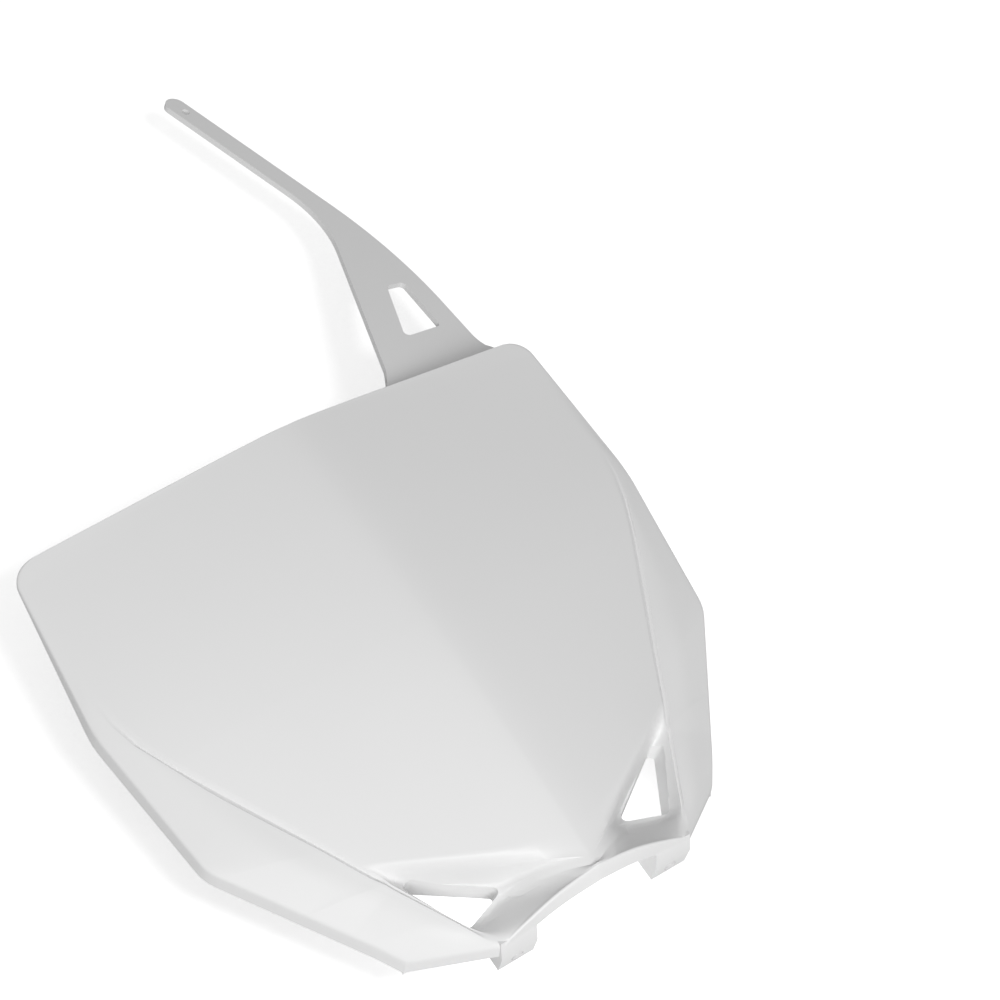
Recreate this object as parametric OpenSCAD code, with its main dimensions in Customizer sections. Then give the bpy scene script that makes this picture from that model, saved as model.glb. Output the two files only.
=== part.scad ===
// Front number board of a small off-road motorbike, one moulding in white plastic.
// +Z runs up along the fork, -Y faces forward and +X is the viewer's right.
// The origin lies midway between the two lower fixing holes, on the undersides of the feet.
// Sizes are in millimetres.

/* [Panel] */
// Width across the two top corners
top_w = 272; // [250:1:290]
// Height of the top corners above the undersides of the feet
corner_z = 257; // [245:0.5:275]
// Height of the top edge on the middle ridge
top_mid_z = 252.5; // [240:0.5:270]
// Radius that rounds the two top corners
corner_r = 11; // [6:0.5:18]
// How far the middle ridge stands in front of the feet at the top edge
ridge_top_y = 36; // [30:0.5:42]
// How far the top corners stand in front of the feet
corner_y = 10; // [4:0.5:14]
// Forward bow of the middle ridge, half way down
crown = 6; // [0:0.5:10]
// Half width of the rounding along the middle ridge
ridge_soft = 11; // [4:0.5:20]
// Thickness of the moulding
wall = 2.4; // [2:0.1:2.8]

/* [Sides and wings] */
// Width across the side kinks, the widest place
kink_w = 282; // [270:1:296]
// Height of the side kinks
kink_z = 172; // [160:1:184]
// Width across the outer corners of the wings
wing_w = 261; // [245:1:272]
// Height of the outer corners of the wings
wing_z = 96; // [86:1:108]
// Width across the lower bends of the wings
bend_w = 174; // [166:1:190]
// Height of the lower bends of the wings
bend_z = 31.5; // [28:0.5:38]
// Width across the bottom corners of the wings
low_w = 160; // [150:1:164]
// Height of the bottom corners of the wings
low_z = 21.5; // [18:0.5:25]
// How far the fold between panel and wing stands in front of the feet at its top end
fold_top_y = 6; // [3:0.5:9]
// How far the wing's own soft ridge stands in front of the fold
wing_rise = 1.5; // [0.5:0.25:3]
// Depth of the back-turned rim below the side kinks
rim_d = 9; // [6:0.5:12]
// Outward slope of that rim over its depth
rim_draft = 1; // [0.5:0.25:2]

/* [Lower edge] */
// Width between the two ends of the bottom arch
arch_w = 95; // [88:1:100]
// Height of the ends of the arch
arch_end_z = 2.5; // [1:0.5:4]
// Height of the middle of the arch
arch_mid_z = 6.5; // [4:0.5:9]
// How far the middle of the arch stands in front of the feet
arch_mid_y = 33; // [29:0.5:35]
// How far the ends of the arch stand in front of the feet
arch_end_y = 15; // [12:0.5:18]
// Depth of the return wall behind the arch
return_d = 8.5; // [6:0.5:11]
// Height at which the flat panel ends on the middle ridge
apex_z = 19; // [16:0.5:24]
// How far that point stands in front of the feet
apex_y = 32; // [28:0.5:35]

/* [Vents] */
// How far the floor of the vent pockets stands in front of the feet
pocket_y = 4; // [2.5:0.5:6]
// How far the web between the vents lies behind the end of the panel
web_in = 2.5; // [1:0.5:6]
// Distance of a vent's upper corner from the middle
vent_top_x = 66; // [64:0.5:68]
// Height of a vent's upper corner
vent_top_z = 49.5; // [48:0.5:51]
// Distance of a vent's inner corner from the middle
vent_in_x = 29.5; // [26:0.5:33]
// Height of a vent's inner corner
vent_in_z = 26.5; // [24:0.5:29]
// Distance of a vent's bottom corner from the middle
vent_low_x = 52; // [50:0.5:53]
// Height of a vent's bottom corner
vent_low_z = 18.5; // [18:0.5:20]
// Radius of the vent's corners
vent_r = 2.2; // [1:0.1:3]
// How far the vent's collar reaches behind the feet's hole line
collar_back = 5.5; // [3:0.5:8]

/* [Feet] */
// Distance between the two lower fixing holes
hole_pitch = 79.5; // [76:0.5:82]
// Diameter of the lower fixing holes
hole_d = 6; // [4:0.1:7]
// Width of a foot
foot_w = 18; // [14:0.5:19]
// Length of a foot's flat underside
foot_flat = 11; // [10:0.5:13]
// Height of a foot at its back
foot_h = 12; // [9:0.5:13]

/* [Strap] */
// Thickness of the strap
strap_t = 3; // [2.4:0.1:3.6]
// Turn of the strap's face away from straight ahead, in degrees
strap_turn = 16.5; // [12:0.5:20]
// Lean of the strap backwards, in degrees
strap_lean = 5.5; // [2:0.5:9]
// Distance of the strap's inner root from the middle
strap_x = 57; // [52:0.5:62]
// Width of the strap above its curved root
strap_root_w = 69.5; // [62:0.5:72]
// How far the flat of the strap stands behind the board's front at its inner root
strap_gap = 6; // [5:0.25:8]
// Height of the curved root
root_h = 14; // [10:0.5:18]
// How far the strap's outer edge flares out at the curved root
root_flare = 2; // [0:0.5:4]
// Distance from the inner root to the corner of the bend, across the strap
strap_bend_w = 47.5; // [40:0.5:50]
// Height of that corner above the board's top edge
strap_bend_z = 119.5; // [104:1:124]
// Radius of the bend's inner edge
strap_bend_r = 70; // [30:1:90]
// Distance of the strap's end from the inner root, across the strap
strap_end_w = 13; // [4:0.5:20]
// Height of the strap's end above the board's top edge
strap_h = 223; // [205:1:240]
// Width of the narrow part of the strap
strap_w = 11.3; // [9.5:0.1:13]
// Height of the relief slot in the inner edge of the strap's root
slot_h = 4.6; // [3:0.2:6]
// Width of that slot in the strap's thickness
slot_w = 1.2; // [0.8:0.1:1.6]
// Depth of that slot from the strap's inner edge
slot_deep = 4; // [2:0.5:6]
// Diameter of the hole near the strap's end
strap_hole_d = 4.5; // [3:0.1:5]
// Distance of that hole from the strap's end
strap_hole_in = 12; // [6:0.5:18]
// Height of the strap's window
window_h = 35; // [26:0.5:38]
// Width of the window's lower edge
window_w = 24; // [20:0.5:26]

/* [Hidden] */

function lerp(a, b, t) = a + (b - a) * t;
function unit(v) = v / norm(v);
function flat2(rows) = [for (r = rows) for (p = r) p];

// Points where the outline turns, right half
top_mid = [0, -ridge_top_y, top_mid_z];
top_corner = [top_w / 2, -corner_y, corner_z];
kink = [kink_w / 2, -3, kink_z];
wing = [wing_w / 2, 0, wing_z];
bend = [bend_w / 2, 0, bend_z];
low = [low_w / 2, 2.5, low_z];
arch_end = [arch_w / 2, -arch_end_y, arch_end_z];
arch_mid = [0, -arch_mid_y, arch_mid_z];
apex = [0, -apex_y, apex_z];

// The fold is one straight line from the side kink to the end of the arch
fold_top = [kink[0] - 4.5, -fold_top_y, kink_z - 2];
function fold(f) = lerp(fold_top, arch_end, f);

// Heights down the middle and shares of the fold's length at each main line
mid_kink_z = lerp(top_mid_z, apex_z, 0.36);
mid_wing_z = lerp(top_mid_z, apex_z, 0.72);
fold_wing = 0.49;
fold_apex = 0.65;
fold_pocket = 0.725;
fold_floor = 0.9;

// Rounded top corner: straight part of the top edge, then an arc down to the side
edge_dir = unit(top_mid - top_corner);
side_dir = unit(kink - top_corner);
corner_turn = acos(edge_dir * side_dir);
corner_back = corner_r / tan(corner_turn / 2);
arc_start = top_corner + edge_dir * corner_back;
arc_stop = top_corner + side_dir * corner_back;
corner_axis = top_corner + unit(edge_dir + side_dir) * corner_r / sin(corner_turn / 2);
function arc_at(t) =
    let (a = arc_start - corner_axis, b = arc_stop - corner_axis, w = acos(unit(a) * unit(b)))
    corner_axis + (a * sin((1 - t) * w) + b * sin(t * w)) / sin(w);

// Distance of the inner lines from the outline along the top and sides
edge_in = 3.4;
fold_in = 7;
function mid_at(z) = [0, lerp(-ridge_top_y, -apex_y, (top_mid_z - z) / (top_mid_z - apex_z)), z];

// Wing ridge between the fold and the outline, standing a little forward of the fold
function wing_ridge(f, share, rim) =
    let (a = fold(f)) [lerp(a[0], rim[0], share), a[1] - wing_rise, lerp(a[2], rim[2], share)];

// One main line across the right half: middle, vent inner, vent outer, fold, wing ridge, outline
function panel_line(m, k, w, o) = [m, lerp(m, k, 0.4), lerp(m, k, 0.88), k, w, o];
function side_line(m, o) = let (d = unit(m - o)) panel_line(m, o + d * fold_in, o + d * edge_in, o);
rim_apex = lerp(wing, bend, 0.47);
rim_pocket = lerp(wing, bend, 0.68);
low_ridge = lerp(low, arch_end, 0.7);

main_lines = [
    side_line(top_mid, arc_start),
    side_line(mid_at(top_mid_z - corner_r), arc_stop),
    panel_line(mid_at(mid_kink_z), fold(0), lerp(fold(0), kink, 0.3), kink),
    panel_line(mid_at(mid_wing_z), fold(fold_wing), wing_ridge(fold_wing, 0.34, wing), wing),
    panel_line(apex, fold(fold_apex), wing_ridge(fold_apex, 0.42, rim_apex), rim_apex),
    [[0, -apex_y + web_in, lerp(apex_z, arch_mid_z, 0.45)], [vent_in_x, -pocket_y, vent_in_z + 1.5],
     [vent_top_x, -pocket_y, vent_top_z], fold(fold_pocket),
     wing_ridge(fold_pocket, 0.42, rim_pocket), rim_pocket],
    [[0, -apex_y + 0.8 * web_in, lerp(apex_z, arch_mid_z, 0.6)], [vent_in_x + 1, -pocket_y, vent_in_z - 3],
     [vent_low_x, -pocket_y, vent_low_z - 0.5], fold(fold_floor),
     wing_ridge(fold_floor, 0.34, bend), bend],
    [arch_mid, arch_end, arch_end, arch_end, low_ridge, low],
];

// The bottom arch is a cosine curve; the vent's corners lie above these shares of its half width
arch_share = [0, 0.4, 0.76, 1];
function arch_at(f) = let (c = cos(90 * f))
    [arch_end[0] * f, lerp(arch_end[1], arch_mid[1], c), lerp(arch_end[2], arch_mid[2], c)];

// Steps between the main lines, and shares at which the spans of a line are divided
row_steps = [4, 4, 5, 4, 3, 2, 3];
col_steps = [[0, 0.12, 0.3, 0.6], [0, 0.35, 0.7], [0], [0, 0.5], [0, 0.5]];
row_at = [for (r = [0:len(row_steps) - 1]) for (s = [0:row_steps[r] - 1]) [r, s / row_steps[r]]];
col_at = [for (c = [0:len(col_steps) - 1]) for (t = col_steps[c]) [c, t],
          [len(col_steps) - 1, 1]];
panel_end = 4;
arch_row = 7;

// The ridge is rounded, and the panel bows forward between its top and its lower end
ridge_slope = (ridge_top_y - corner_y) / (top_w / 2);
function soft(x) = ridge_slope * (sqrt(x * x + ridge_soft * ridge_soft) - abs(x));
function bow(x, z, half) =
    let (v = min(1, max(0, (z - apex_z) / (top_mid_z - apex_z))), u = min(1, x / half))
    crown * sin(180 * v) * (1 - u * u);
function shaped(p, half) = p + [0, soft(p[0]) - bow(p[0], p[2], half), 0];

// Point of main line r at column place c, before and after the panel's shape is added
function plain(r, c) = lerp(main_lines[r][c[0]], main_lines[r][c[0] + 1], c[1]);
// The web between the vents stays forward at the middle and falls away towards each vent
function web(r, c) = let (p = plain(r, c), a = main_lines[r][0], b = main_lines[r][1])
    [p[0], lerp(a[1], b[1], c[1] * c[1]), p[2]];
function main_point(r, c) =
    r == arch_row && c[0] < 3 ? arch_at(lerp(arch_share[c[0]], arch_share[c[0] + 1], c[1]))
    : r == panel_end ? shaped(plain(r, c), main_lines[r][3][0])
    : r > panel_end && c[0] == 0 ? web(r, c) : plain(r, c);
// Below the panel the surface first drops, then runs straight back into the pocket
function drop(a, b, t) = [lerp(a[0], b[0], t), lerp(a[1], b[1], t), lerp(a[2], b[2], 1 - (1 - t) * (1 - t))];

function face_point(r, t, c) =
    r == 0 && c[0] == 4 && c[1] == 1 ? arc_at(t) + [0, 0, 0]
    : r < panel_end ? shaped(lerp(plain(r, c), plain(r + 1, c), t),
                             lerp(main_lines[r][3][0], main_lines[r + 1][3][0], t))
    : r == panel_end && c[0] < 3 ? drop(main_point(r, c), main_point(r + 1, c), t)
    : lerp(main_point(r, c), main_point(r + 1, c), t);
face = concat([for (r = row_at) [for (c = col_at) face_point(r[0], r[1], c)]],
              [[for (c = col_at) main_point(arch_row, c)]]);
last_row = len(face) - 1;
last_col = len(face[0]) - 1;

// Outward direction of the outline in the front view
function rim_out(i) =
    let (a = face[max(0, i - 1)][last_col], b = face[min(last_row, i + 1)][last_col],
         d = b - a)
    unit([-d[2], 0, d[0]]);
// The rim starts as the bare edge at the top and is at full depth from the kink on
function rim_share(i) =
    let (z = face[i][last_col][2]) min(1, max(0, (arc_stop[2] - z) / (arc_stop[2] - kink_z)));
function rim_point(i) = let (f = rim_share(i))
    face[i][last_col] + rim_out(i) * lerp(0.1, rim_draft, f) + [0, lerp(wall + 0.4, rim_d, f), 0];
// The lower edge turns back behind the arch, and levels out towards the wings
function return_point(j) =
    let (p = face[last_row][j], f = min(1, p[0] / arch_end[0]))
    p + [0, return_d, lerp(-3.6, -1, f)];

half_face = concat(
    [for (i = [0:last_row]) concat(face[i], [rim_point(i)])],
    [concat([for (j = [0:last_col]) return_point(j)],
            [rim_point(last_row) + [-0.5, 0, -1.2]])]);
rows = len(half_face);
cols = len(half_face[0]);
function side_point(i, j) = j < 0 ? [-half_face[i][-j][0], half_face[i][-j][1], half_face[i][-j][2]]
    : half_face[i][j];
front = [for (i = [0:rows - 1]) [for (j = [1 - cols:cols - 1]) side_point(i, j)]];
wide = len(front[0]);

// Back of the wall: every point moved along the mean direction of the faces around it
function cell_dir(g, i, j) =
    unit(cross(g[i + 1][j + 1] - g[i][j], g[i + 1][j] - g[i][j + 1]));
function around(g, i, j) = [for (a = [i - 1:i]) for (b = [j - 1:j])
    if (a >= 0 && b >= 0 && a < len(g) - 1 && b < len(g[0]) - 1) cell_dir(g, a, b)];
function add(v, i = 0) = i < len(v) ? v[i] + add(v, i + 1) : [0, 0, 0];
function back_shift(g, i, j, t) =
    let (d = around(g, i, j), n = unit(add(d)), c = min([for (e = d) n * e]))
    n * t / max(0.55, c);
function thickened(g, t) =
    [for (i = [0:len(g) - 1]) [for (j = [0:len(g[0]) - 1]) g[i][j] + back_shift(g, i, j, t)]];

// Closed solid between a front grid of points and a back grid
module sheet(a, b) {
    m = len(a);
    n = len(a[0]);
    k = m * n;
    cells = [for (i = [0:m - 2]) for (j = [0:n - 2])
        [i * n + j, norm(a[i][j + 1] - a[i + 1][j]) < norm(a[i][j] - a[i + 1][j + 1])]];
    front_faces = [for (c = cells) for (f = c[1]
        ? [[c[0], c[0] + 1, c[0] + n], [c[0] + 1, c[0] + n + 1, c[0] + n]]
        : [[c[0], c[0] + 1, c[0] + n + 1], [c[0], c[0] + n + 1, c[0] + n]]) f];
    back_faces = [for (f = front_faces) [f[2] + k, f[1] + k, f[0] + k]];
    loop = concat([for (j = [0:n - 2]) j], [for (i = [0:m - 2]) i * n + n - 1],
                  [for (j = [n - 1:-1:1]) (m - 1) * n + j], [for (i = [m - 1:-1:1]) i * n]);
    edge_faces = [for (i = [0:len(loop) - 1]) let (p = loop[i], q = loop[(i + 1) % len(loop)])
        for (f = [[p, p + k, q + k], [p, q + k, q]]) f];
    polyhedron(concat(flat2(a), flat2(b)), concat(front_faces, back_faces, edge_faces));
}

module shell() {
    sheet(front, thickened(front, wall));
}

// Corner of an outline rounded to radius r, as points on the arc
function round_corner(a, p, b, r, n = 5) =
    let (u = unit(a - p), v = unit(b - p), w = acos(u * v), c = p + unit(u + v) * r / sin(w / 2),
         d = r / tan(w / 2), s = p + u * d - c, e = p + v * d - c, g = 180 - w)
    [for (i = [0:n]) c + (s * sin((1 - i / n) * g) + e * sin(i / n * g)) / sin(g)];
function rounded(p, r) = flat2([for (i = [0:len(p) - 1])
    round_corner(p[(i + len(p) - 1) % len(p)], p[i], p[(i + 1) % len(p)], r)]);

vent_outline = [[vent_top_x - 2, vent_top_z], [vent_top_x + 1.5, vent_top_z - 3.5],
                [vent_low_x, vent_low_z], [vent_in_x, vent_in_z]];

// Outline moved outwards by d
function grown(p, d) = [for (i = [0:len(p) - 1])
    let (u = unit(p[(i + len(p) - 1) % len(p)] - p[i]), v = unit(p[(i + 1) % len(p)] - p[i]))
    p[i] - unit(u + v) * d / sin(acos(u * v) / 2)];

module vent_prism(grow, y0, y1) {
    translate([0, y1, 0])
        rotate([90, 0, 0])
            linear_extrude(y1 - y0)
                polygon(rounded(grown(vent_outline, grow), vent_r + grow));
}

// A foot: flat underside round the fixing hole, ramp forward to the end of the arch
module foot() {
    y_back = foot_flat * 0.4;
    y_front = y_back - foot_flat;
    translate([(hole_pitch - foot_w) / 2, 0, 0])
        rotate([90, 0, 90])
            linear_extrude(foot_w)
                polygon([[y_front, 0], [y_back, 0], [y_back, foot_h], [y_front - 2, foot_h],
                         [-arch_end_y, arch_end_z + 3], [-arch_end_y - 1, arch_end_z + 1]]);
}

module fixing_hole() {
    translate([hole_pitch / 2, 0, -1])
        cylinder(d = hole_d, h = foot_h + 2, $fn = 48);
}

module both_sides() {
    children();
    mirror([1, 0, 0]) children();
}

// The strap's flat: w runs across it from the inner root, u runs up it
strap_o = [strap_x, -ridge_top_y + ridge_slope * strap_x + strap_gap, top_mid_z + 2];
strap_across = [cos(strap_turn), sin(strap_turn), 0];
strap_up = [-sin(strap_turn) * sin(strap_lean), cos(strap_turn) * sin(strap_lean), cos(strap_lean)];
function on_strap(p) = strap_o + strap_across * p[0] + strap_up * p[1];

// Both long edges are a straight line, a wide arc and a straight line up to the round end
left_root = [3.6 + 0.365 * root_h, root_h];
left_bend = [strap_bend_w, strap_bend_z];
strap_dir = unit([strap_end_w, strap_h] - left_bend);
strap_out = [strap_dir[1], -strap_dir[0]];
right_bend = let (p = left_bend + strap_out * strap_w, w = strap_root_w)
    p + strap_dir * (w - p[0]) / strap_dir[0];
end_c = [strap_end_w, strap_h] + (strap_out - strap_dir) * strap_w / 2;
left_flare = [3.6 + 0.365 * (root_h + 9), root_h + 9];
left_edge = concat([left_root, left_flare], round_corner(left_flare, left_bend,
                                                         end_c - strap_out * strap_w / 2, strap_bend_r, 7));
right_root = [strap_root_w + root_flare, root_h];
right_flare = [strap_root_w, root_h + 9];
right_edge = concat([right_root, right_flare], round_corner(right_flare, right_bend,
                                                            end_c + strap_out * strap_w / 2, 260, 7));
end_left = [for (a = [0:15:75]) end_c + (strap_dir * sin(a) - strap_out * cos(a)) * strap_w / 2];
end_right = [for (a = [0:15:75]) end_c + (strap_dir * sin(a) + strap_out * cos(a)) * strap_w / 2];
left_line = concat(left_edge, end_left);
right_line = concat(right_edge, end_right);

// The root leaves the top edge of the board straight back and curves up into the flat
root_steps = 6;
root_start_x = strap_x - 2.4;
root_end_x = arc_start[0] - 3;
function edge_point(s) =
    let (x = lerp(root_start_x, root_end_x, s), p = lerp(top_mid, top_corner, x / top_corner[0]))
    p + [0, soft(x) + 1, -1.3];
function root_point(s, t) =
    let (a = edge_point(s), d = on_strap(lerp(left_root, right_root, s)),
         c = on_strap(lerp(left_root, right_root, s) - [lerp(3, -1.5, s) * root_flare, root_h * 0.75]),
         b = [a[0], lerp(a[1], c[1], 0.6), a[2]], r = 1 - t)
    a * r * r * r + b * 3 * t * r * r + c * 3 * t * t * r + d * t * t * t;
strap_cols = [0, 0.25, 0.5, 0.75, 1];
strap_face = concat(
    [for (i = [len(left_line) - 1:-1:1]) [for (s = strap_cols) on_strap(lerp(left_line[i], right_line[i], s))]],
    [for (t = [root_steps:-1:0]) [for (s = strap_cols) root_point(s, t / root_steps)]]);

window_x = 57.3;
window_z = 31;
window_outline = [[window_x, window_z + 2], [window_x + 0.7, window_z + window_h],
                  [window_x - window_w + 0.4 * window_h, window_z + window_h], [window_x - window_w, window_z]];

module strap() {
    difference() {
        sheet(strap_face, thickened(strap_face, strap_t));
        translate(root_point(0, 0.75))
            rotate([90 - strap_lean, 0, strap_turn])
                translate([-2, -slot_h / 2, -(strap_t + slot_w) / 2])
                    cube([slot_deep + 2, slot_h, slot_w]);
        translate(strap_o)
            rotate([90 - strap_lean, 0, strap_turn])
                translate([0, 0, -3 * strap_t]) {
                    linear_extrude(6 * strap_t)
                        polygon(rounded(window_outline, 2.5));
                    translate(end_c + strap_dir * (strap_w / 2 - strap_hole_in))
                        cylinder(d = strap_hole_d, h = 6 * strap_t, $fn = 32);
                }
    }
}

module number_board() {
    color("whitesmoke") {
        difference() {
            union() {
                shell();
                both_sides() vent_prism(wall, -pocket_y - 0.5, collar_back);
                both_sides() foot();
            }
            both_sides() vent_prism(0, -60, 60);
            both_sides() fixing_hole();
        }
        strap();
    }
}

number_board();
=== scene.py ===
import math

import bpy
import bmesh
import numpy as np
from mathutils import Matrix, Vector
from mathutils.kdtree import KDTree


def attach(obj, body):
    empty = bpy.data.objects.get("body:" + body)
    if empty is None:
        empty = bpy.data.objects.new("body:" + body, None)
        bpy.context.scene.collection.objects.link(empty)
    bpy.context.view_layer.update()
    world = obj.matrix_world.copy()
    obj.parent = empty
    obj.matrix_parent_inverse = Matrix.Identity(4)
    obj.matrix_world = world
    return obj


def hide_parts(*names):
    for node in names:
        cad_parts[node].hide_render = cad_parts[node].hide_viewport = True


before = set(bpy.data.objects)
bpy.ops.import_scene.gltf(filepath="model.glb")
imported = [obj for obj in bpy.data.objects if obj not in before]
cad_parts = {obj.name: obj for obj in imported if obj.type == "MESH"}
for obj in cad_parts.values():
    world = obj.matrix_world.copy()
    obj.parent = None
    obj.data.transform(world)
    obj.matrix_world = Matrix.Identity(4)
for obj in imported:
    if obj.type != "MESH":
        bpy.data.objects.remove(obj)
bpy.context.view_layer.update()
print("frame loaded")

# Shapes are worked out in millimetres, +Z up and -Y forward, and newPiece turns them into metres
perMetre = 1000

# The shield. Widths are whole, and the other values are read on the right half
board = {
    "topWidth": 272, "cornerZ": 257, "topMidZ": 252.5, "cornerY": 10, "cornerRadius": 11,
    "ridgeTopY": 36, "ridgeSoft": 11, "crown": 6, "apexY": 31.9, "apexZ": 14,
    "kinkWidth": 282, "kinkY": 3, "kinkZ": 172, "wingWidth": 261, "wingZ": 96,
    "bendWidth": 174, "bendZ": 31.5, "lowWidth": 160, "lowY": 2.5, "lowZ": 21.5,
    "foldIn": 4.5, "foldDown": 2, "foldTopY": 6, "groove": 1.1, "grooveTop": 10, "grooveEnd": 12,
    "wingRise": 2.1, "ridgeTop": 0.3, "ridgeIn": 0.34, "ridgeSwell": 0.08,
    "panelMid": 0.4, "panelSide": 0.88, "sideIn": 7, "edgeIn": 3.4,
    "archWidth": 95, "archEndY": 15, "archEndZ": 2.5, "archMidY": 31.8, "archMidZ": 7.4,
    "archNear": 0.4, "archFar": 0.76, "archRun": 0.66, "returnDepth": 8.5, "returnMid": 3.6, "returnEnd": 1,
    "rimDepth": 9, "rimDraft": 1, "rimTop": 0.4,
    "webSlope": 0.255, "webHold": 2.6,       # how long the web stays level with the panel
    "wall": 2.4, "edgeRound": 0.7,           # the free edges bulge by edgeRound
}
vent = {
    "pocketY": 4, "topX": 66, "topZ": 49.5, "innerX": 29.5, "innerZ": 26.5, "lowX": 52, "lowZ": 18.5,
    "topIn": 2, "topOut": 1.5, "topDrop": 3.5, "cornerRadius": 2.4, "collarBack": 5.5,
    "draft": 1,                              # how much narrower the opening is at its back
}
# Where the lines leave the fold, from its top at 0 to the arch at 1, and shares down the ridge and rim
foldAt = {"wing": 0.49, "apex": 0.65, "pocket": 0.725, "low": 0.9}
ridgeAt = {"kink": 0.36, "wing": 0.72}
rimAt = {"apex": 0.47, "pocket": 0.68}
webAt = {"pocket": 0.45, "low": 0.6}


def vec(*v):
    return np.array(v, float)


def lerp(a, b, t):
    return a + (b - a) * t


def clamp(t):
    return min(1, max(0, t))


def unit(v):
    return v / max(np.linalg.norm(v), 1e-9)


def cornerArc(a, p, b, radius):
    # the arc that rounds corner p between a and b, by its share from 0 to 1
    u, v = unit(a - p), unit(b - p)
    w = math.acos(u @ v)
    c, d = p + unit(u + v) * radius / math.sin(w / 2), radius / math.tan(w / 2)
    s, e, g = p + u * d - c, p + v * d - c, math.pi - w
    return lambda t: c + (s * math.sin((1 - t) * g) + e * math.sin(t * g)) / math.sin(g)


def topEdge():
    b = board
    topMid = vec(0, -b["ridgeTopY"], b["topMidZ"])
    topCorner = vec(b["topWidth"] / 2, -b["cornerY"], b["cornerZ"])
    return topMid, topCorner, (b["ridgeTopY"] - b["cornerY"]) / (b["topWidth"] / 2)


def boardLines():
    # nine lines of points across the right half, from the top edge to the return wall of the arch
    b, v = board, vent
    topMid, topCorner = topEdge()[:2]
    kink = vec(b["kinkWidth"] / 2, -b["kinkY"], b["kinkZ"])
    wing = vec(b["wingWidth"] / 2, 0, b["wingZ"])
    bend = vec(b["bendWidth"] / 2, 0, b["bendZ"])
    low = vec(b["lowWidth"] / 2, b["lowY"], b["lowZ"])
    archEnd = vec(b["archWidth"] / 2, -b["archEndY"], b["archEndZ"])
    archMid = vec(0, -b["archMidY"], b["archMidZ"])
    apex = vec(0, -b["apexY"], b["apexZ"])
    foldTop = vec(kink[0] - b["foldIn"], -b["foldTopY"], kink[2] - b["foldDown"])
    fold = lambda f: lerp(foldTop, archEnd, f)
    arcAt = cornerArc(topMid, topCorner, kink, b["cornerRadius"])

    def midAt(z):
        down = (b["topMidZ"] - z) / (b["topMidZ"] - b["apexZ"])
        return vec(0, lerp(-b["ridgeTopY"], -b["apexY"], down), z)

    def ridgePoint(name):
        return midAt(lerp(b["topMidZ"], b["apexZ"], ridgeAt[name]))

    def panelLine(mid, k, w, rim):
        return [mid, lerp(mid, k, b["panelMid"]), lerp(mid, k, b["panelSide"]), k, w, rim]

    def sideLine(mid, rim):
        d = unit(mid - rim)
        return panelLine(mid, rim + d * b["sideIn"], rim + d * b["edgeIn"], rim)

    def archAt(f):
        c = math.cos(math.pi / 2 * f)
        return vec(archEnd[0] * f, lerp(archEnd[1], archMid[1], c), lerp(archEnd[2], archMid[2], c))

    def webMid(name):
        return vec(0, -b["apexY"], lerp(b["apexZ"], b["archMidZ"], webAt[name]))

    wingFold = fold(foldAt["wing"])
    wingMid = lerp(wingFold, wing, b["ridgeIn"])
    wingMid[1] = wingFold[1] - b["wingRise"]
    rimApex, rimPocket = lerp(wing, bend, rimAt["apex"]), lerp(wing, bend, rimAt["pocket"])
    # controlRows moves the fifth points below the kink onto the wing's soft ridge
    lines = [
        sideLine(topMid, arcAt(0)),
        sideLine(midAt(b["topMidZ"] - b["cornerRadius"]), arcAt(1)),
        panelLine(ridgePoint("kink"), fold(0), lerp(fold(0), kink, b["ridgeTop"]), kink),
        panelLine(ridgePoint("wing"), wingFold, wingMid, wing),
        panelLine(apex, fold(foldAt["apex"]), rimApex, rimApex),
        [webMid("pocket"), vec(v["innerX"], -v["pocketY"], v["innerZ"] + 1.5),
         vec(v["topX"], -v["pocketY"], v["topZ"]), fold(foldAt["pocket"]), rimPocket, rimPocket],
        [webMid("low"), vec(v["innerX"] + 1, -v["pocketY"], v["innerZ"] - 3),
         vec(v["lowX"], -v["pocketY"], v["lowZ"] - 0.5), fold(foldAt["low"]), bend, bend],
        [archMid, archAt(b["archNear"]), archAt(b["archFar"]), archEnd, lerp(low, archEnd, b["archRun"]), low],
    ]
    down = lambda x: lerp(-b["returnMid"], -b["returnEnd"], min(1, x / archEnd[0]))
    lines.append([p + vec(0, b["returnDepth"], down(p[0])) for p in lines[-1]])
    return np.array(lines), arcAt, fold


# How widely each line is rounded where the surface turns over it: down the middle, then at the sides
rowRound = [0, 0, 30, 30, 8, 1.5, 4, 2, 0]
rowRoundSide = [0, 0, 7, 5, 20, 20, 5, 1.6, 0]
rowBefore = {4: 0.3}                         # this share of it lies before the panel's end
midRound = 30                                # no step down the middle, from the panel's end to the web
colRound = [
    [0, 30, 12, 3, 3, 1.4, 0], [0, 30, 12, 3, 3, 1.4, 0], [0, 30, 12, 2, 3, 1.5, 0],
    [0, 30, 12, 2, 5, 1.5, 0], [0, 30, 10, 2, 5, 1.5, 0], [0, 12, 3, 1.3, 7, 1.5, 0],
    [0, 12, 3, 1.3, 7, 1.5, 0], [0, 30, 30, 2, 5, 1.6, 0], [0, 30, 30, 2, 5, 1.6, 0]]
kinkRow, panelEnd, archRow = 2, 4, 7
foldColumn, ridgeColumn, rimColumn = 3, 4, 5
cornerSteps, cornerSpread = 4, 0.02          # a rounded line's stations share this much of a level


def stations(steps, rounded):
    # ("corner", k, t) round the k-th point or ("span", k, t) along the straight after it
    out = []
    for k, n in enumerate(steps):
        first = 1 if k in rounded else 0
        out += [("span", k, (i + first) / (n + 1)) for i in range(n + (1 - first))]
        if k + 1 in rounded:
            out += [("corner", k + 1, i / cornerSteps) for i in range(cornerSteps + 1)]
    if len(steps) not in rounded:
        out.append(("span", len(steps) - 1, 1.0))
    return out


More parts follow.
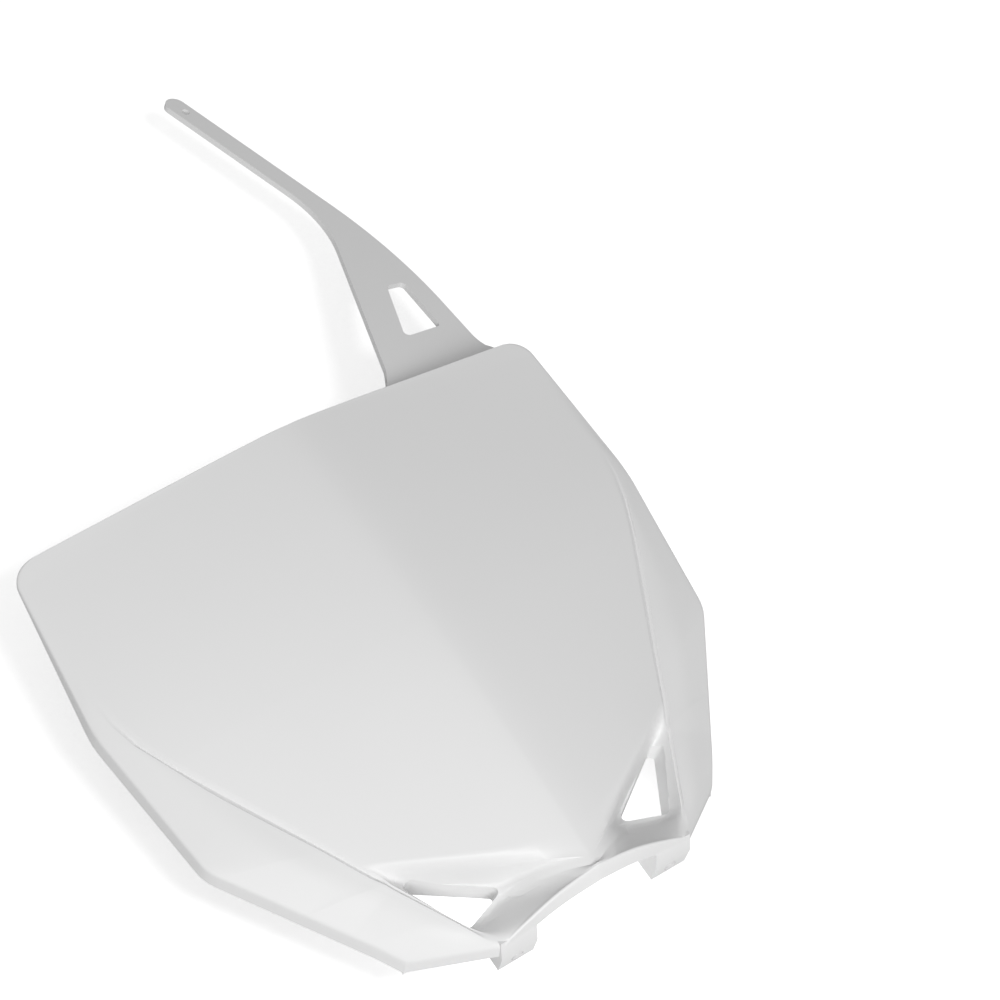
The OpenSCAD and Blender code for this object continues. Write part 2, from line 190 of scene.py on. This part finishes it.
rowPlaces = stations([10, 10, 12, 12, 8, 14, 8, 4], range(2, 8))
colPlaces = stations([14, 12, 4, 5, 6, 3], range(1, 6))


def levelOf(place):
    kind, k, t = place
    return k + t if kind == "span" else k + (t - 0.5) * cornerSpread


def past(level, line):
    # 0 before the stations round a line, 1 after them
    return clamp((level - line) / cornerSpread + 0.5)


def along(points, radii, place, before={}):
    # a point of the line whose corners are rounded by parabolas
    kind, k, t = place

    def reach(i, j):
        size = radii[i] * (before.get(i, 1) if j < i else 1)
        gap = points[j] - points[i]
        return points[i] + gap * min(0.47, size / max(1e-6, np.linalg.norm(gap)))

    if kind == "corner":
        a, b = reach(k, k - 1), reach(k, k + 1)
        return a * (1 - t) ** 2 + points[k] * 2 * t * (1 - t) + b * t * t
    a = reach(k, k + 1) if radii[k] > 0 else points[k]
    b = reach(k + 1, k) if radii[k + 1] > 0 else points[k + 1]
    return lerp(a, b, t)


def wingRidgeAt(a, rim, fold, rise):
    # the wing's soft ridge between a point of the fold and the outline
    b, top, end = board, fold(0), fold(1)
    f = (top[2] - a[2]) / (top[2] - end[2])
    swell = math.sin(math.pi * clamp((f - 0.4) / 0.5)) ** 2
    grow = min(1, f / foldAt["wing"])
    share = lerp(b["ridgeTop"], b["ridgeIn"], grow) + b["ridgeSwell"] * swell
    return lerp(a, rim, share) - vec(0, b["wingRise"] * grow * rise, 0)


def webDrop(x, start, end):
    # the web goes on from the panel and drops to the vent's floor only beside it
    f, slope = x / end[0], board["webSlope"]
    drop = end[1] - start[1] - slope * end[0]
    return start[1] + slope * x + drop * f ** board["webHold"] - lerp(start[1], end[1], f)


def controlRows():
    # the lines again, rounded where the surface turns over them, with the turned-back rim added
    b = board
    lines, arcAt, fold = boardLines()
    rows = []
    for place in rowPlaces:
        row = []
        for k in range(rimColumn + 1):
            share = max(0, k - foldColumn) / (rimColumn - foldColumn)
            radii = [lerp(p, q, share) for p, q in zip(rowRound, rowRoundSide)]
            if k == 0:
                radii[panelEnd:archRow] = [midRound] * 3
            onCorner = k == rimColumn and place[:2] == ("span", 0)
            row.append(arcAt(place[2]) if onCorner else along(lines[:, k], radii, place, rowBefore))
        rows.append((levelOf(place), row))
    outline = np.array([row[rimColumn] for r, row in rows])
    last = max(i for i, (r, row) in enumerate(rows) if r <= archRow)
    for i, (r, row) in enumerate(rows):
        if i <= last:
            d = outline[min(last, i + 1)] - outline[max(0, i - 1)]
            out = unit(vec(-d[2], 0, d[0]))
            f = clamp((arcAt(1)[2] - row[rimColumn][2]) / (arcAt(1)[2] - b["kinkZ"]))
            turned = vec(0, lerp(b["wall"] + b["rimTop"], b["rimDepth"], f), 0)
            rim = lastRim = row[rimColumn] + out * lerp(0.1, b["rimDraft"], f) + turned
        else:
            rim = lerp(lastRim, lines[archRow + 1, rimColumn] + vec(1.2, 0.9, -0.2), min(1, r - archRow))
        if kinkRow <= r <= archRow + cornerSpread / 2:
            row[ridgeColumn] = wingRidgeAt(row[foldColumn], row[rimColumn], fold, clamp(archRow - r))
        row.append(rim)
    return rows, fold


def boardFace():
    b = board
    rows, fold = controlRows()
    ridgeSlope = topEdge()[2]
    face = []
    for r, line in rows:
        k = min(archRow, int(r))
        radii = [lerp(p, q, r - k) for p, q in zip(colRound[k], colRound[k + 1])]
        half = max(20, line[foldColumn][0])
        hollow = min(past(r, panelEnd), 1 - past(r, archRow))
        # the groove fades out by distance at both ends of the fold
        high = line[foldColumn][2]
        fade = min(clamp((fold(0)[2] - high) / b["grooveTop"]),
                   clamp((high - b["archEndZ"] - 3) / b["grooveEnd"]))
        row = []
        for place in colPlaces:
            p = along(np.array(line), radii, place)
            up = clamp((p[2] - b["apexZ"]) / (b["topMidZ"] - b["apexZ"]))
            soft = ridgeSlope * (math.hypot(p[0], b["ridgeSoft"]) - abs(p[0])) * clamp(archRow - r)
            bow = b["crown"] * math.sin(math.pi * up) * (1 - min(1, p[0] / half) ** 2) * clamp(panelEnd + 1 - r)
            fall = webDrop(p[0], line[0], line[1]) * hollow if p[0] < max(1, line[1][0]) else 0
            if place[:2] == ("corner", foldColumn):
                fall += b["groove"] * math.sin(math.pi * place[2]) * fade
            row.append(p + vec(0, soft - bow + fall, 0))
        face.append(row)
    half = np.array(face)
    return np.concatenate([(half * vec(-1, 1, 1))[:, :0:-1], half], axis=1)


normalSpread, edgeRings, edgePasses = 5, 4, 6


def gridNormals(g):
    # area-weighted normals, averaged over what lies within normalSpread of each point
    n = np.zeros_like(g)
    a, b, c, d = g[:-1, :-1], g[:-1, 1:], g[1:, 1:], g[1:, :-1]
    area = np.cross(c - a, d - b)
    for i, j in ((0, 0), (0, 1), (1, 0), (1, 1)):
        n[i:g.shape[0] - 1 + i, j:g.shape[1] - 1 + j] += area
    points, total = g.reshape(-1, 3), n.reshape(-1, 3)
    tree = KDTree(len(points))
    for i, p in enumerate(points):
        tree.insert(p, i)
    tree.balance()
    out = np.zeros_like(points)
    for i, p in enumerate(points):
        for q, j, d in tree.find_range(p, normalSpread):
            out[i] += total[j] * (1 - (d / normalSpread) ** 2)
    size = np.linalg.norm(out, axis=1, keepdims=True)
    return (out / np.maximum(size, 1e-9)).reshape(g.shape)


def closedSheet(name, face, thickness, bulge):
    # front grid, back grid and a round bead along the free edges
    n = gridNormals(face)
    back = face + n * thickness
    m, w = face.shape[:2]
    loop = [(0, j) for j in range(w - 1)] + [(i, w - 1) for i in range(m - 1)]
    loop += [(m - 1, j) for j in range(w - 1, 0, -1)] + [(i, 0) for i in range(m - 1, 0, -1)]
    verts = [tuple(p) for p in face.reshape(-1, 3)] + [tuple(p) for p in back.reshape(-1, 3)]
    at = lambda i, j: i * w + j
    faces = []
    for i in range(m - 1):
        for j in range(w - 1):
            q = (at(i, j), at(i, j + 1), at(i + 1, j + 1), at(i + 1, j))
            faces.append(q[::-1])
            faces.append(tuple(v + m * w for v in q))
    outward = []
    for i, j in loop:
        inner = face[min(max(i, 2), m - 3), min(max(j, 2), w - 3)]
        d = face[i, j] - inner
        outward.append(unit(d - n[i, j] * (d @ n[i, j])))
    for s in range(edgePasses):
        outward = [unit(outward[k - 1] + outward[k] + outward[(k + 1) % len(loop)]) for k in range(len(loop))]
    rings = [[at(*p) for p in loop]]
    for s in range(1, edgeRings if bulge else 0):
        ring, t = [], s / edgeRings
        for (i, j), d in zip(loop, outward):
            ring.append(len(verts))
            verts.append(tuple(lerp(face[i, j], back[i, j], t) + d * bulge * math.sin(math.pi * t)))
        rings.append(ring)
    rings.append([at(*p) + m * w for p in loop])
    for a, b in zip(rings[:-1], rings[1:]):
        for i in range(len(loop)):
            j = (i + 1) % len(loop)
            faces.append((a[i], a[j], b[j], b[i]))
    return newPiece(name, verts, faces)


def link(name, mesh):
    piece = bpy.data.objects.new(name, mesh)
    bpy.context.scene.collection.objects.link(piece)
    return piece


def turnOutward(bm):
    bmesh.ops.recalc_face_normals(bm, faces=bm.faces)
    if bm.calc_volume(signed=True) < 0:
        bmesh.ops.reverse_faces(bm, faces=bm.faces)


def newPiece(name, verts, faces):
    mesh = bpy.data.meshes.new(name)
    points = [tuple(c / perMetre for c in v) for v in verts]
    mesh.from_pydata(points, [], [tuple(int(i) for i in f) for f in faces])
    bm = bmesh.new()
    bm.from_mesh(mesh)
    bmesh.ops.remove_doubles(bm, verts=bm.verts, dist=1e-6)
    bmesh.ops.dissolve_degenerate(bm, edges=bm.edges, dist=1e-6)
    turnOutward(bm)
    bm.to_mesh(mesh)
    bm.free()
    return link(name, mesh)


def applyAll(piece):
    # the modifiers' result becomes the piece's own mesh
    piece.data = bpy.data.meshes.new_from_object(piece.evaluated_get(bpy.context.evaluated_depsgraph_get()))
    piece.modifiers.clear()


def combine(base, other, how):
    tool = base.modifiers.new("join", "BOOLEAN")
    tool.operation, tool.object, tool.solver = how, other, "EXACT"
    applyAll(base)
    bpy.data.objects.remove(other)


def roundedCorners(points, radius, steps=6):
    out = []
    for i, p in enumerate(points):
        arc = cornerArc(vec(*points[i - 1]), vec(*p), vec(*points[(i + 1) % len(points)]), radius)
        out += [arc(k / steps) for k in range(steps + 1)]
    return out


def grown(points, d):
    # the outline moved outwards by d
    out = []
    for i, p in enumerate(points):
        p = vec(*p)
        u, v = unit(vec(*points[i - 1]) - p), unit(vec(*points[(i + 1) % len(points)]) - p)
        out.append(p - unit(u + v) * d / math.sin(math.acos(u @ v) / 2))
    return out


def ringPoints(centre, diameter, steps=48):
    turns = np.linspace(0, 2 * math.pi, steps + 1)[:-1]
    return [centre + vec(math.cos(a), math.sin(a)) * diameter / 2 for a in turns]


def loft(name, rings):
    # outlines of one length, joined in turn and closed at both ends
    n, last = len(rings[0]), len(rings) * len(rings[0])
    faces = [tuple(range(n)), tuple(range(last - 1, last - n - 1, -1))]
    for r in range(len(rings) - 1):
        faces += [(r * n + i, r * n + (i + 1) % n, r * n + n + (i + 1) % n, r * n + n + i) for i in range(n)]
    return newPiece(name, [p for ring in rings for p in ring], faces)


def prism(name, outline, low, high, place):
    # outline swept from low to high; place turns (x, y, height) into a point
    return loft(name, [[place(p[0], p[1], h) for p in outline] for h in (low, high)])


def ventOutline(grow, side):
    v = vent
    points = [(v["topX"] - v["topIn"], v["topZ"]), (v["topX"] + v["topOut"], v["topZ"] - v["topDrop"]),
              (v["lowX"], v["lowZ"]), (v["innerX"], v["innerZ"])]
    return [(p[0] * side, p[1]) for p in roundedCorners(grown(points, grow), v["cornerRadius"] + grow)]


def ventCollar(side):
    return prism("collar", ventOutline(board["wall"], side), -vent["pocketY"] - 0.5, vent["collarBack"],
                 lambda x, z, y: (x, y, z))


def ventCutter(side, far=60):
    # straight from the front to the pocket's floor, then narrower towards the back
    wide, narrow = ventOutline(0, side), ventOutline(-vent["draft"], side)
    rings = [(wide, -far), (wide, -vent["pocketY"] - 1), (narrow, vent["collarBack"] + 0.5), (narrow, far)]
    return loft("opening", [[(p[0], y, p[1]) for p in outline] for outline, y in rings])


foot = {"pitch": 79.5, "hole": 6, "width": 18, "flat": 11, "behind": 0.4, "height": 12, "lean": 2}


def footBlock(side):
    f, b = foot, board
    back = f["flat"] * f["behind"]
    front = back - f["flat"]
    outline = [(front, 0), (back, 0), (back, f["height"]), (front - f["lean"], f["height"]),
               (-b["archEndY"], b["archEndZ"] + 3), (-b["archEndY"] - 1, b["archEndZ"] + 1)]
    start = (f["pitch"] - f["width"]) / 2
    return prism("foot", outline, start, start + f["width"], lambda y, z, x: (x * side, y, z))


def footHole(side):
    ring = ringPoints(vec(side * foot["pitch"] / 2, 0), foot["hole"])
    return prism("fixing", ring, -2, foot["height"] + 2, lambda x, y, z: (x, y, z))


# The strap, flat in its own plane: x across and height up from where it leaves the top edge
strap = {
    "thickness": 3, "turn": 16.5, "lean": 5.5, "x": 57, "gap": 6, "above": 2,
    "leftX": 3.6, "leftSlope": 0.365, "rootWidth": 69.5, "rootHeight": 14, "rootRise": 9, "flare": 2,
    "rootIn": 2.4, "cornerIn": 10, "sinkBack": 1, "sinkDown": 1.3,
    "bendW": 47.5, "bendZ": 119.5, "innerRadius": 70, "outerRadius": 260, "endW": 13, "height": 223,
    "width": 11.3, "hole": 4.5, "holeIn": 12,
    "windowX": 57.3, "windowZ": 31, "windowHeight": 35, "windowWidth": 24, "windowSlant": 0.4,
    "windowRadius": 2.5, "slotHeight": 4.6, "slotWidth": 1.2, "slotDepth": 4,
}
strapColumns, rootRows, bendSteps, flareSteps, deep = 12, 14, 24, 6, 12


def strapFrame():
    s, b = strap, board
    turn, lean = math.radians(s["turn"]), math.radians(s["lean"])
    start = vec(s["x"], -b["ridgeTopY"] + topEdge()[2] * s["x"] + s["gap"], b["topMidZ"] + s["above"])
    across = vec(math.cos(turn), math.sin(turn), 0)
    up = vec(-math.sin(turn) * math.sin(lean), math.cos(turn) * math.sin(lean), math.cos(lean))
    return start, across, up


def strapSides():
    # its two edges from the root to the round end, with the same number of points, and the hole's centre
    s = strap
    top = s["rootHeight"] + s["rootRise"]
    leftAt = lambda h: vec(s["leftX"] + s["leftSlope"] * h, h)
    leftRoot, leftTop, rightTop = leftAt(s["rootHeight"]), leftAt(top), vec(s["rootWidth"], top)
    rightRoot = vec(s["rootWidth"] + s["flare"], s["rootHeight"])
    leftBend = vec(s["bendW"], s["bendZ"])
    run = unit(vec(s["endW"], s["height"]) - leftBend)
    out = vec(run[1], -run[0])
    p = leftBend + out * s["width"]
    rightBend = p + run * (s["rootWidth"] - p[0]) / run[0]
    end = vec(s["endW"], s["height"]) + (out - run) * s["width"] / 2
    shares = [k / flareSteps for k in range(flareSteps + 1)]
    left = [lerp(leftRoot, leftTop, k) for k in shares]
    right = [lerp(rightRoot, rightTop, k) - vec(s["flare"] * k * (1 - k), 0) for k in shares]
    inner = cornerArc(leftTop, leftBend, end - out * s["width"] / 2, s["innerRadius"])
    outer = cornerArc(rightTop, rightBend, end + out * s["width"] / 2, s["outerRadius"])
    left += [inner(k / bendSteps) for k in range(bendSteps + 1)]
    right += [outer(k / bendSteps) for k in range(bendSteps + 1)]
    for degrees in range(0, 85, 7):
        a = math.radians(degrees)
        left.append(end + (run * math.sin(a) - out * math.cos(a)) * s["width"] / 2)
        right.append(end + (run * math.sin(a) + out * math.cos(a)) * s["width"] / 2)
    return left, right, end + run * (s["width"] / 2 - s["holeIn"])


def strapPiece():
    s, b = strap, board
    start, across, up = strapFrame()
    normal = np.cross(across, up)
    left, right, holeAt = strapSides()
    onStrap = lambda p: start + across * p[0] + up * p[1]
    place = lambda x, y, h: tuple(start + across * x + up * y + normal * h)
    topMid, topCorner, slope = topEdge()

    def rootPoint(share, t):
        # from inside the board's top edge, over its rim and up into the strap
        x = lerp(s["x"] - s["rootIn"], topCorner[0] - s["cornerIn"], share)
        soft = slope * (math.hypot(x, b["ridgeSoft"]) - x)
        a = lerp(topMid, topCorner, x / topCorner[0]) + vec(0, soft + s["sinkBack"], -s["sinkDown"])
        edge = lerp(left[0], right[0], share)
        below = vec(lerp(3, -4, share) * s["flare"], s["rootHeight"] * lerp(0.75, 0.4, share))
        d, c = onStrap(edge), onStrap(edge - below)
        m = vec(a[0], lerp(a[1], c[1], 0.6), a[2])
        r = 1 - t
        return a * r ** 3 + m * 3 * t * r * r + c * 3 * t * t * r + d * t ** 3

    columns = [i / strapColumns for i in range(strapColumns + 1)]
    rows = [[onStrap(lerp(l, r, c)) for c in columns] for l, r in list(zip(left, right))[:0:-1]]
    rows += [[rootPoint(c, 1 - i / rootRows) for c in columns] for i in range(rootRows + 1)]
    piece = closedSheet("strap", np.array(rows), s["thickness"], 0)
    x, z, h, w = s["windowX"], s["windowZ"], s["windowHeight"], s["windowWidth"]
    window = [(x, z + 2), (x + 0.7, z + h), (x - w + s["windowSlant"] * h, z + h), (x - w, z)]
    combine(piece, prism("window", roundedCorners(window, s["windowRadius"]), -deep, deep, place), "DIFFERENCE")
    combine(piece, prism("hole", ringPoints(holeAt, s["hole"]), -deep, deep, place), "DIFFERENCE")
    mid = rootPoint(0, 0.75) + normal * (s["thickness"] / 2 if normal[1] > 0 else -s["thickness"] / 2)
    h, w = s["slotHeight"] / 2, s["slotWidth"] / 2
    slot = roundedCorners([(w, h), (-w, h), (-w, -h), (w, -h)], w * 0.95)
    intoEdge = lambda x, y, h: tuple(mid + normal * x + up * y + across * h)
    combine(piece, prism("slot", slot, -2, s["slotDepth"], intoEdge), "DIFFERENCE")
    return piece


edges = {"width": 0.0005, "segments": 2, "bevelFrom": 38, "sharpFrom": 40}     # metres and degrees


def finishEdges(piece):
    bm = bmesh.new()
    bm.from_mesh(piece.data)
    bmesh.ops.remove_doubles(bm, verts=bm.verts, dist=2e-6)
    bmesh.ops.dissolve_degenerate(bm, edges=bm.edges, dist=2e-6)
    for f in bm.faces:
        f.smooth = True
    bm.to_mesh(piece.data)
    bm.free()
    soft = piece.modifiers.new("edges", "BEVEL")
    soft.width, soft.segments = edges["width"], edges["segments"]
    soft.limit_method, soft.angle_limit = "ANGLE", math.radians(edges["bevelFrom"])
    soft.use_clamp_overlap = True
    applyAll(piece)
    piece.data.set_sharp_from_angle(angle=math.radians(edges["sharpFrom"]))
    even = piece.modifiers.new("even", "WEIGHTED_NORMAL")
    even.keep_sharp = True
    applyAll(piece)


front = boardFace()
shell = closedSheet("number_board_skin", front, board["wall"], board["edgeRound"])
print("shell faces", len(shell.data.polygons))
for side in (-1, 1):
    combine(shell, ventCollar(side), "UNION")
    combine(shell, footBlock(side), "UNION")
    combine(shell, ventCutter(side), "DIFFERENCE")
    combine(shell, footHole(side), "DIFFERENCE")
combine(shell, strapPiece(), "UNION")
print("joined faces", len(shell.data.polygons))
finishEdges(shell)

lip = {"radius": 0.9, "sides": 14, "sink": 0.45, "short": 2}    # short: columns left free at each end


def lipTree():
    # a round bead swept along the path it is given
    tree = bpy.data.node_groups.new("lip bead", "GeometryNodeTree")
    wanted = {"Path": "Geometry", "Radius": "Float", "Sides": "Int", "Finish": "Material"}
    sockets = {}
    for name, kind in wanted.items():
        socket = tree.interface.new_socket(name=name, in_out="INPUT", socket_type="NodeSocket" + kind)
        sockets[name] = socket.identifier
    tree.interface.new_socket(name="Bead", in_out="OUTPUT", socket_type="NodeSocketGeometry")
    kinds = ["NodeGroupInput", "GeometryNodeMeshToCurve", "GeometryNodeCurvePrimitiveCircle",
             "GeometryNodeCurveToMesh", "GeometryNodeSetShadeSmooth", "GeometryNodeRealizeInstances",
             "GeometryNodeSetMaterial", "NodeGroupOutput"]
    start, curve, ring, sweep, smooth, real, paint, end = [tree.nodes.new(kind) for kind in kinds]
    sweep.inputs["Fill Caps"].default_value = True
    for source, name, target, socket in [
            (start, "Path", curve, "Mesh"), (start, "Radius", ring, "Radius"),
            (start, "Sides", ring, "Resolution"),
            (curve, "Curve", sweep, "Curve"), (ring, "Curve", sweep, "Profile Curve"),
            (sweep, "Mesh", smooth, "Geometry"), (smooth, "Geometry", real, "Geometry"),
            (real, "Geometry", paint, "Geometry"), (start, "Finish", paint, "Material"),
            (paint, "Geometry", end, "Bead")]:
        tree.links.new(source.outputs[name], target.inputs[socket])
    return tree, sockets


def lipBead(finish):
    # along the lower edge of the arch, half sunk in the skin
    edge = front[rowPlaces.index(("corner", archRow, 0.5))]
    reach = colPlaces.index(("corner", foldColumn, 0.0)) - lip["short"]
    mid = (len(edge) - 1) // 2
    sunk = vec(0, lip["sink"], lip["sink"])
    path = [tuple((edge[i] + sunk) / perMetre) for i in range(mid - reach, mid + reach + 1)]
    mesh = bpy.data.meshes.new("number_board_lip")
    mesh.from_pydata(path, [(i, i + 1) for i in range(len(path) - 1)], [])
    bead = link("number_board_lip", mesh)
    tree, sockets = lipTree()
    sweep = bead.modifiers.new("bead", "NODES")
    sweep.node_group = tree
    sweep[sockets["Radius"]] = lip["radius"] / perMetre
    sweep[sockets["Sides"]] = lip["sides"]
    sweep[sockets["Finish"]] = finish
    applyAll(bead)
    bm = bmesh.new()
    bm.from_mesh(bead.data)
    turnOutward(bm)
    print("lip bead faces", len(bm.faces), "open edges", sum(1 for e in bm.edges if not e.is_manifold))
    bm.to_mesh(bead.data)
    bm.free()
    return bead


plastic = {
    "colour": (0.83, 0.83, 0.83), "roughness": 0.43, "uneven": 0.05, "sheen": 0.36, "bend": 1.49,
    "tint": 0.015, "cloudScale": 9, "patchScale": 40, "grainScale": 1400, "grain": 0.05, "grainDepth": 0.0002,
}


def addNode(nodes, kind, values={}):
    node = nodes.new(kind)
    for name, value in values.items():
        node.inputs[name].default_value = value
    return node


def whitePlastic():
    # satin white with slow changes of tint, uneven gloss and a fine moulded grain
    p = plastic
    mat = bpy.data.materials.new("white_plastic")
    mat.use_nodes = True
    nodes, links = mat.node_tree.nodes, mat.node_tree.links
    shader = nodes["Principled BSDF"]
    shader.inputs["IOR"].default_value = p["bend"]
    shader.inputs["Specular IOR Level"].default_value = p["sheen"]
    shader.inputs["Roughness"].default_value = p["roughness"]
    place = nodes.new("ShaderNodeTexCoord")

    def noise(scale, detail, target, socket):
        pattern = addNode(nodes, "ShaderNodeTexNoise", {"Scale": scale, "Detail": detail})
        links.new(place.outputs["Object"], pattern.inputs["Vector"])
        links.new(pattern.outputs["Fac"], target.inputs[socket])

    tint = addNode(nodes, "ShaderNodeMapRange", {"To Min": 1 - p["tint"], "To Max": 1 + p["tint"]})
    noise(p["cloudScale"], 3, tint, "Value")
    colour = nodes.new("ShaderNodeMix")
    colour.data_type, colour.blend_type = "RGBA", "MULTIPLY"
    colour.inputs["Factor"].default_value = 1
    colour.inputs[6].default_value = (*p["colour"], 1)
    links.new(tint.outputs["Result"], colour.inputs[7])
    links.new(colour.outputs[2], shader.inputs["Base Color"])
    least, most = p["roughness"] - p["uneven"], p["roughness"] + p["uneven"]
    rough = addNode(nodes, "ShaderNodeMapRange", {"To Min": least, "To Max": most})
    noise(p["patchScale"], 4, rough, "Value")
    links.new(rough.outputs["Result"], shader.inputs["Roughness"])
    bump = addNode(nodes, "ShaderNodeBump", {"Strength": p["grain"], "Distance": p["grainDepth"]})
    noise(p["grainScale"], 2, bump, "Height")
    links.new(bump.outputs["Normal"], shader.inputs["Normal"])
    return mat


finish = whitePlastic()
shell.data.materials.clear()
shell.data.materials.append(finish)
bead = lipBead(finish)
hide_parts("number_board")
for piece in (shell, bead):
    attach(piece, "root")
print("board dressed")

# A white wall close behind the board, soft lamps and the camera, in metres
stage = {"wallY": 0.030, "wallSize": 6.0, "wallColour": 0.8, "wallLift": 0.62, "world": 0.42}
lamps = {
    "key": {"place": (-0.47, -1.03, -0.77), "target": (0, 0, 0.12), "size": 0.8, "power": 12.9, "on": "board"},
    "shadow": {"place": (0.30, -1.4, -0.55), "target": (0, 0, 0.15), "size": 0.45, "power": 7, "on": "wall"},
    "behind": {"place": (0, 0.013, 0.045), "target": (0, 1, 0.045), "size": 0.11, "power": 0.03, "on": "wall"},
}
view = {
    "focal": 2283.537, "frame": 1000, "sensor": 36.0,       # focal and frame in pixels, sensor in millimetres
    "turn": (1.0010286954521743, -0.6202752412249413, -0.15756879526941628),
    "shift": (39.70881119688834, 171.24260798014362, 953.3731067554004),
}


def grey(level):
    return (level, level, level, 1)


def makeWall():
    s, y = stage["wallSize"], stage["wallY"]
    mesh = bpy.data.meshes.new("wall")
    mesh.from_pydata([(-s, y, -s), (s, y, -s), (s, y, s), (-s, y, s)], [], [(0, 1, 2, 3)])
    wall = link("wall", mesh)
    mat = bpy.data.materials.new("wall_white")
    mat.use_nodes = True
    nodes, links = mat.node_tree.nodes, mat.node_tree.links
    nodes.clear()
    out = nodes.new("ShaderNodeOutputMaterial")
    white = addNode(nodes, "ShaderNodeBsdfDiffuse", {"Color": grey(stage["wallColour"])})
    # what the camera sees of it is lifted to white, the shadow stays
    lift = addNode(nodes, "ShaderNodeEmission", {"Color": grey(stage["wallLift"])})
    ray = nodes.new("ShaderNodeLightPath")
    links.new(ray.outputs["Is Camera Ray"], lift.inputs["Strength"])
    both = nodes.new("ShaderNodeAddShader")
    links.new(white.outputs[0], both.inputs[0])
    links.new(lift.outputs[0], both.inputs[1])
    # seen through from behind
    clear = nodes.new("ShaderNodeBsdfTransparent")
    behind = nodes.new("ShaderNodeNewGeometry")
    mix = nodes.new("ShaderNodeMixShader")
    links.new(behind.outputs["Backfacing"], mix.inputs[0])
    links.new(both.outputs[0], mix.inputs[1])
    links.new(clear.outputs[0], mix.inputs[2])
    links.new(mix.outputs[0], out.inputs["Surface"])
    mesh.materials.append(mat)
    return wall


def lit(name, pieces):
    group = bpy.data.collections.new(name)
    for p in pieces:
        group.objects.link(p)
    return group


def makeLamps(wall):
    groups = {"board": lit("lit_board", [shell, bead]), "wall": lit("lit_wall", [wall])}
    for name, l in lamps.items():
        data = bpy.data.lights.new(name, "AREA")
        data.shape, data.size, data.energy = "DISK", l["size"], l["power"]
        lamp = link(name, data)
        lamp.location = l["place"]
        lamp.rotation_euler = (Vector(l["target"]) - Vector(l["place"])).to_track_quat("-Z", "Y").to_euler()
        lamp.light_linking.receiver_collection = groups[l["on"]]
        lamp.visible_camera = False


def makeWorld():
    # plain even light, and white where the camera looks past the wall
    world = bpy.data.worlds.new("room")
    bpy.context.scene.world = world
    world.use_nodes = True
    nodes, links = world.node_tree.nodes, world.node_tree.links
    nodes.clear()
    out = nodes.new("ShaderNodeOutputWorld")
    soft = addNode(nodes, "ShaderNodeBackground", {"Color": grey(1), "Strength": stage["world"]})
    seen = addNode(nodes, "ShaderNodeBackground", {"Color": grey(1), "Strength": 1})
    ray = nodes.new("ShaderNodeLightPath")
    mix = nodes.new("ShaderNodeMixShader")
    links.new(ray.outputs["Is Camera Ray"], mix.inputs[0])
    links.new(soft.outputs[0], mix.inputs[1])
    links.new(seen.outputs[0], mix.inputs[2])
    links.new(mix.outputs[0], out.inputs["Surface"])


def makeCamera():
    turn = Vector(view["turn"])
    rot = Matrix.Rotation(turn.length, 3, turn.normalized())
    shift = Vector(view["shift"]) / perMetre
    data = bpy.data.cameras.new("camera")
    data.sensor_width = view["sensor"]
    data.lens = view["focal"] / view["frame"] * view["sensor"]
    data.clip_start, data.clip_end = 0.01, 50
    camera = link("camera", data)
    toWorld = rot.transposed() @ Matrix(((1, 0, 0), (0, -1, 0), (0, 0, -1)))
    camera.matrix_world = Matrix.Translation(-(rot.transposed() @ shift)) @ toWorld.to_4x4()
    bpy.context.scene.camera = camera


makeLamps(makeWall())
makeWorld()
makeCamera()
bpy.context.scene.view_settings.view_transform = "Standard"
print("stage set")
